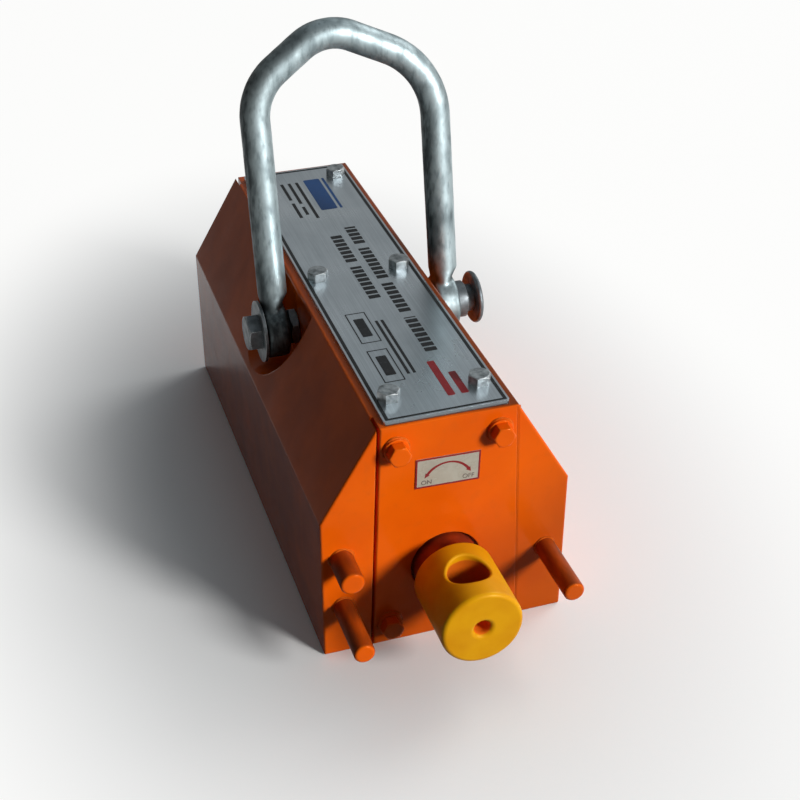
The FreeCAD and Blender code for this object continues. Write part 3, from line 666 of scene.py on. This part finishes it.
class LIFTER_OT_pins(bpy.types.Operator):
    """Paint the stop pins and lay a bead of paint round the foot of each pin and front washer"""
    bl_idname = "lifter.pins"
    bl_label = "Stop pins and paint beads"

    def execute(self, context):
        enamel = context.scene.lifter_enamel
        paint = orange_enamel(enamel)
        dress(PIN_NODES, orange_enamel(enamel, pin_darkening=PIN_DARKENING))
        bm = bmesh.new()
        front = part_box("front_cover")[0][1]
        for phase, name in enumerate(PIN_NODES):
            low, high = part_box(name)
            centre = Vector(((low[0] + high[0]) / 2, front, (low[2] + high[2]) / 2))
            paint_bead(bm, centre, (high[0] - low[0]) / 2, enamel.bead, phase)
        low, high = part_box("front_cover_washers")
        corners = ((0, 0), (0, 1), (1, 0), (1, 1))
        for phase, (side, level) in enumerate(corners, start=len(PIN_NODES)):
            z = (low[2] + WASHER_RADIUS, high[2] - WASHER_RADIUS)[level]
            reach = row_ends("front_cover_washers", z, WASHER_RADIUS)
            x = (reach[0] + WASHER_RADIUS, reach[1] - WASHER_RADIUS)[side]
            paint_bead(bm, Vector((x, front, z)), WASHER_RADIUS, enamel.bead, phase)
        make_piece("paint_beads", mesh_of("paint_beads", bm, smooth=True), paint, HOUSING)
        # The right seam of the front cover is filled by paint nearly to the face
        low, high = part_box("front_cover")
        near, start, share = 1.0 * MM, 0.6 * MM, 0.99
        sunk, depth, lap = 0.03 * MM, 1.6 * MM, 0.95 * MM
        bm = bmesh.new()
        foot = row_ends("front_cover", low[2], near)[1]
        head = row_ends("front_cover", high[2], near)[1]
        face = low[1] + sunk
        groove = ((foot + depth, face), (foot - lap, face), (foot, face + depth))
        rise = Vector((head - foot, 0, high[2] - low[2])) * share
        prism(bm, [Vector((x, y, low[2] + start)) for x, y in groove], rise)
        make_piece("paint_seam", mesh_of("paint_seam", bm), paint, HOUSING)
        return {"FINISHED"}


class LIFTER_OT_hub(bpy.types.Operator):
    """Paint the lever hub and the collar behind it"""
    bl_idname = "lifter.hub"
    bl_label = "Lever hub"

    def execute(self, context):
        dress(("lever_hub",), yellow_enamel(context.scene.lifter_enamel))
        # The collar and bush sit in the groove behind the hub; their dark brown primer stands in for
        # the groove's shade
        dress(("front_core_flange", "front_bush"), shaded_red_primer())
        return {"FINISHED"}


class LIFTER_OT_nameplate(bpy.types.Operator):
    """Finish the nameplate, its bolts and its print"""
    bl_idname = "lifter.nameplate"
    bl_label = "Nameplate"

    def execute(self, context):
        prints = context.scene.lifter_print
        plating = context.scene.lifter_steel.plating
        dress(("nameplate", "top_spacer_bar"), satin_aluminium(prints))
        dress(("nameplate_bolts",),
              plated_steel("steel_zinc_electroplated", plating, linear("#6b7173")))
        inks = {ink: screen_ink("epoxy_ink_" + ink + "_printed", getattr(prints, ink))
                for ink in ("black", "blue", "red")}
        films = {ink: bmesh.new() for ink in inks}
        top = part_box("nameplate")[1][2]
        rise = Vector((0, 0, prints.ink))

        def field(ink, x, y, corner=0.3):
            """Printed field between two x and two y positions, in mm from the plate's middle."""
            outline = rounded((x[0] * MM, y[0] * MM), (x[1] * MM, y[1] * MM), corner * MM)
            prism(films[ink], [Vector((px, py, top)) for px, py in outline], rise)

        # Border lines outside the bolts, thinner across the ends
        inside, outside, near, far = 37.3, 39.6, -186.6, 180.2
        for side in (-1, 1):
            field("black", sorted((side * inside, side * outside)), (near, far), 0.5)
        for y in ((near, -184.9), (178.2, far)):
            field("black", (-inside, inside), y, 0.1)
        # Blue field and thin rows at the far end
        field("blue", (2, 15), (104, 160), 1.5)
        field("blue", (17, 19), (104, 160), 0.5)
        half_row = 1.2
        rows = ((-4, ((92, 158),)), (-10, ((120, 158), (100, 114))), (-16, ((128, 158), (96, 122))))
        for x, spans in rows:
            for span in spans:
                field("black", (x - half_row, x + half_row), span)
        # Two rows of heavy bars along the middle
        half_bar, bar, pitch = 4.2, 4.6, 6.4
        rows = ((14, ((-118, -72), (-64, -22), (-14, 34), (42, 70))), (0, ((-40, 8), (16, 60))))
        for x, words in rows:
            for start, end in words:
                y = start
                while y < end:
                    field("black", (x - half_bar, x + half_bar), (y, min(y + bar, end)), 0.5)
                    y += pitch
        # Boxes of four thin lines with a filled cell
        left, right, length, line = -27, -13, 40, 0.8
        for start in (-146, -96):
            end = start + length
            field("black", (left, left + line), (start, end), 0.1)
            field("black", (right - line, right), (start, end), 0.1)
            field("black", (left + line, right - line), (start, start + line), 0.1)
            field("black", (left + line, right - line), (end - line, end), 0.1)
            field("black", (-23.5, -16.5), (start + 8, start + 32), 0.8)
        half_row = 1.0
        for x in (-9, -5):
            field("black", (x - half_row, x + half_row), (-140, -70))
        # Red mark at the near end
        field("red", (6, 11), (-172, -130), 1.0)
        field("red", (15, 20), (-172, -146), 1.0)
        for ink, film in films.items():
            name = "nameplate_print_" + ink
            make_piece(name, mesh_of(name, film), inks[ink], HOUSING)
        return {"FINISHED"}


class LIFTER_OT_switch_label(bpy.types.Operator):
    """Finish the switch label and print its border, arc and words"""
    bl_idname = "lifter.switch_label"
    bl_label = "Switch label"

    def execute(self, context):
        prints = context.scene.lifter_print
        dress(("switch_label",), label_film(prints))
        low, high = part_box("switch_label")
        rise = Vector((0, -prints.ink, 0))
        red = screen_ink("vinyl_ink_red_printed", prints.red)
        faded = screen_ink("vinyl_ink_black_faded", linear("#5a4c46"))
        middle = Vector(((low[0] + high[0]) / 2, low[1], (low[2] + high[2]) / 2))
        # The label is stuck on askew, so its own size comes out of its box and its tilt
        tilt = Matrix.Rotation(LABEL_TILT, 4, "Y")
        wide = (high[0] - low[0]) / 2
        tall = (high[2] - low[2]) / 2
        cos, sin = math.cos(LABEL_TILT), math.sin(LABEL_TILT)
        half_x = (wide * cos - tall * sin) / math.cos(2 * LABEL_TILT)
        half_z = (tall * cos - wide * sin) / math.cos(2 * LABEL_TILT)
        bm = bmesh.new()

        def flat(points):
            """Label points, across and up from its middle, on its front."""
            return [middle + tilt @ Vector((x, 0, z)) for x, z in points]

        line, corner = 1.1 * MM, 0.2 * MM
        for side in (-1, 1):
            edge = sorted((side * half_x, side * (half_x - line)))
            prism(bm, flat(rounded((edge[0], -half_z), (edge[1], half_z), corner)), rise)
            edge = sorted((side * half_z, side * (half_z - line)))
            bar = rounded((line - half_x, edge[0]), (half_x - line, edge[1]), corner)
            prism(bm, flat(bar), rise)
        # Arc over the two words, wider towards its ends
        radius, centre_z = 16.5 * MM, -10.5 * MM
        spread = math.radians(55)
        thin, swell = 0.55, 0.35
        steps = 24
        outer = []
        inner = []
        for step in range(steps + 1):
            angle = math.pi / 2 + spread - 2 * spread * step / steps
            ends = abs(step / steps - 0.5) * 2
            width = (thin + swell * ends) * MM
            for edge, reach in ((outer, radius + width), (inner, radius - width)):
                edge.append((reach * math.cos(angle), centre_z + reach * math.sin(angle)))
        prism(bm, flat(outer + inner[::-1]), rise)
        # Arrow head at each end of the arc
        half_head, head_length = 1.7 * MM, 3.4 * MM
        for side in (-1, 1):
            angle = math.pi / 2 - side * spread
            out = Vector((math.cos(angle), math.sin(angle)))
            along = Vector((out.y, -out.x)) * side
            foot = Vector((0, centre_z)) + out * radius
            head = (foot + out * half_head, foot + along * head_length, foot - out * half_head)
            prism(bm, flat([tuple(point) for point in head]), rise)
        make_piece("switch_label_arc", mesh_of("switch_label_arc", bm), red, HOUSING)
        turn = Matrix.Rotation(math.pi / 2, 4, "X")
        word_size, word_z = 4.6 * MM, -8.6 * MM
        for word, x in (("ON", -14.0 * MM), ("OFF", 14.0 * MM)):
            curve = bpy.data.curves.new("switch_word_" + word, "FONT")
            curve.body = word
            curve.size = word_size
            curve.align_x = "CENTER"
            curve.extrude = prints.ink / 2
            mesh = mesh_from(put("switch_word_maker", curve))
            spot = Matrix.Translation(Vector((x, -prints.ink / 2, word_z)))
            mesh.transform(Matrix.Translation(middle) @ tilt @ spot @ turn)
            make_piece("switch_word_" + word.lower(), mesh, faded, HOUSING)
        return {"FINISHED"}


class LIFTER_OT_shackle(bpy.types.Operator):
    """Lay a lumpy galvanised coat over the shackle"""
    bl_idname = "lifter.shackle"
    bl_label = "Shackle"

    def execute(self, context):
        steel = context.scene.lifter_steel
        maker = put("shackle_maker", frame["nodes"]["shackle"].data.copy())
        remesh = maker.modifiers.new("even mesh", "REMESH")
        remesh.mode = "VOXEL"
        remesh.voxel_size = steel.grid
        smooth = maker.modifiers.new("dulled edges", "SMOOTH")
        smooth.factor = 0.5
        smooth.iterations = 4
        # Lumps sink below the solid's surface, so that the coat stays inside it
        for label, size, share in (("long lumps", 16 * MM, 0.6), ("small lumps", 5 * MM, 0.4)):
            clouds = bpy.data.textures.new("zinc " + label, "CLOUDS")
            clouds.noise_scale = size
            clouds.noise_depth = 2
            sink = maker.modifiers.new(label, "DISPLACE")
            sink.texture = clouds
            sink.texture_coords = "LOCAL"
            sink.mid_level = 0.9
            sink.strength = steel.lump * share
        mesh = mesh_from(maker)
        if len(mesh.polygons) < FEWEST_COAT_FACES:
            raise RuntimeError("the shackle's coat came out empty")
        mesh.polygons.foreach_set("use_smooth", [True] * len(mesh.polygons))
        piece = make_piece("shackle_galvanised", mesh, galvanised_steel(steel), SHACKLE_BODY)
        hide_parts("shackle")
        return {"FINISHED"}


class LIFTER_OT_pivots(bpy.types.Operator):
    """Finish the bolts, washers, nuts and sleeve that the shackle turns on"""
    bl_idname = "lifter.pivots"
    bl_label = "Shackle pivots"

    def execute(self, context):
        darker_plating = context.scene.lifter_steel.darker_plating
        # The pivot pieces get the darker copy of the plating, painted shade
        dress(PIVOT_NODES, plated_steel("steel_zinc_electroplated_darker", darker_plating, linear("#5a6063")))
        return {"FINISHED"}


class LIFTER_OT_core(bpy.types.Operator):
    """Finish the turning core, its magnets and its bearings"""
    bl_idname = "lifter.core"
    bl_label = "Core and bearings"

    def execute(self, context):
        for nodes, name, light, dark, sheen in (
            (TURNED_NODES, "steel_turned", "#a3a6a8", "#5f6366", 0.28),
            (MAGNET_NODES, "magnet_alloy_nickel_plated", "#bdbab3", "#8f8c86", 0.2),
            (BRONZE_NODES, "bronze_turned", "#c39a55", "#7d5d2c", 0.3),
        ):
            dress(nodes, turned_metal(name, linear(light), linear(dark), sheen))
        return {"FINISHED"}


class LIFTER_OT_stage(bpy.types.Operator):
    """Set up the floor, the lamps, the room and the camera"""
    bl_idname = "lifter.stage"
    bl_label = "Stage"

    def execute(self, context):
        scene = context.scene
        stage = scene.lifter_stage
        scene.view_settings.view_transform = "Standard"
        bm = bmesh.new()
        bmesh.ops.create_grid(bm, x_segments=2, y_segments=2, size=FLOOR_REACH)
        floor = put("floor", mesh_of("floor", bm))
        floor.data.materials.append(paper_floor(stage))
        aim = Vector((0, -0.05, 0.12))
        for name, place, size, power in (
            ("key_lamp", (2.05, -2.95, 1.40), 1.0, stage.key_power),
            ("side_lamp", (2.5, 1.0, 2.1), 1.8, stage.side_power),
        ):
            lamp = bpy.data.lights.new(name, "AREA")
            lamp.shape = "DISK"
            lamp.size = size
            lamp.energy = power
            look_from(put(name, lamp), place, aim - Vector(place))
        # The room is light on one side and dark on the other
        world = bpy.data.worlds.new("room")
        scene.world = world
        world.use_nodes = True
        tree = world.node_tree
        tree.nodes.clear()
        look = add(tree, "TexCoord").outputs["Generated"]
        light_side = Vector((0.75, 0.5, 0.35)).normalized()
        side = add(tree, "VectorMath", {0: look, 1: light_side}, operation="DOT_PRODUCT")
        share = add(tree, "MapRange", {"Value": side, "From Min": -0.35, "From Max": 0.95},
                    interpolation_type="SMOOTHSTEP")
        room = add(tree, "Mix", {SHARE: share, UNDER: stage.room_dark, OVER: stage.room_light},
                   data_type="RGBA")
        # Near the horizon it shows the grey that the floor runs out into
        level = add(tree, "SeparateXYZ", {0: look}).outputs["Z"]
        low = add(tree, "MapRange", {"Value": level, "From Min": 0.02, "From Max": 1.2,
                                     "To Min": 1.0, "To Max": 0.0},
                  interpolation_type="SMOOTHSTEP")
        haze = add(tree, "Math", {0: low, 1: rays_that_see(tree)}, operation="MULTIPLY")
        shown = add(tree, "Mix", {SHARE: haze, UNDER: room, OVER: stage.room_far},
                    data_type="RGBA")
        light = add(tree, "Background", {"Color": shown})
        add(tree, "OutputWorld", {"Surface": light})
        camera = bpy.data.cameras.new("camera")
        camera.sensor_width = SENSOR_WIDTH
        camera.lens = stage.lens
        scene.camera = put("camera", camera)
        look_from(scene.camera, stage.camera_place, Vector(stage.camera_aim))
        return {"FINISHED"}


OPERATORS = (
    LIFTER_OT_body, LIFTER_OT_pins, LIFTER_OT_hub, LIFTER_OT_nameplate, LIFTER_OT_switch_label,
    LIFTER_OT_shackle, LIFTER_OT_pivots, LIFTER_OT_core, LIFTER_OT_stage,
)
SETTINGS = {
    "lifter_enamel": EnamelSettings,
    "lifter_steel": SteelSettings,
    "lifter_print": PrintSettings,
    "lifter_stage": StageSettings,
}


class LIFTER_PT_panel(bpy.types.Panel):
    """Sidebar panel with every step and its settings"""
    bl_idname = "LIFTER_PT_panel"
    bl_label = "Magnetic Lifter"
    bl_space_type = "VIEW_3D"
    bl_region_type = "UI"
    bl_category = "Lifter"

    def draw(self, context):
        for operator in OPERATORS:
            self.layout.operator(operator.bl_idname)
        for name, group in SETTINGS.items():
            box = self.layout.box()
            box.label(text=group.__doc__)
            for setting in group.__annotations__:
                box.prop(getattr(context.scene, name), setting)


CLASSES = (*SETTINGS.values(), *OPERATORS, LIFTER_PT_panel)


def register():
    """Add the classes and the settings to Blender."""
    for cls in CLASSES:
        bpy.utils.register_class(cls)
    for name, group in SETTINGS.items():
        setattr(bpy.types.Scene, name, PointerProperty(type=group))


def unregister():
    """Take the settings and the classes out again."""
    for name in SETTINGS:
        delattr(bpy.types.Scene, name)
    for cls in reversed(CLASSES):
        bpy.utils.unregister_class(cls)


def main():
    """Dress the lifter step by step."""
    register()
    for operator in OPERATORS:
        group, name = operator.bl_idname.split(".")
        getattr(getattr(bpy.ops, group), name)()


if __name__ == "__main__":
    main()
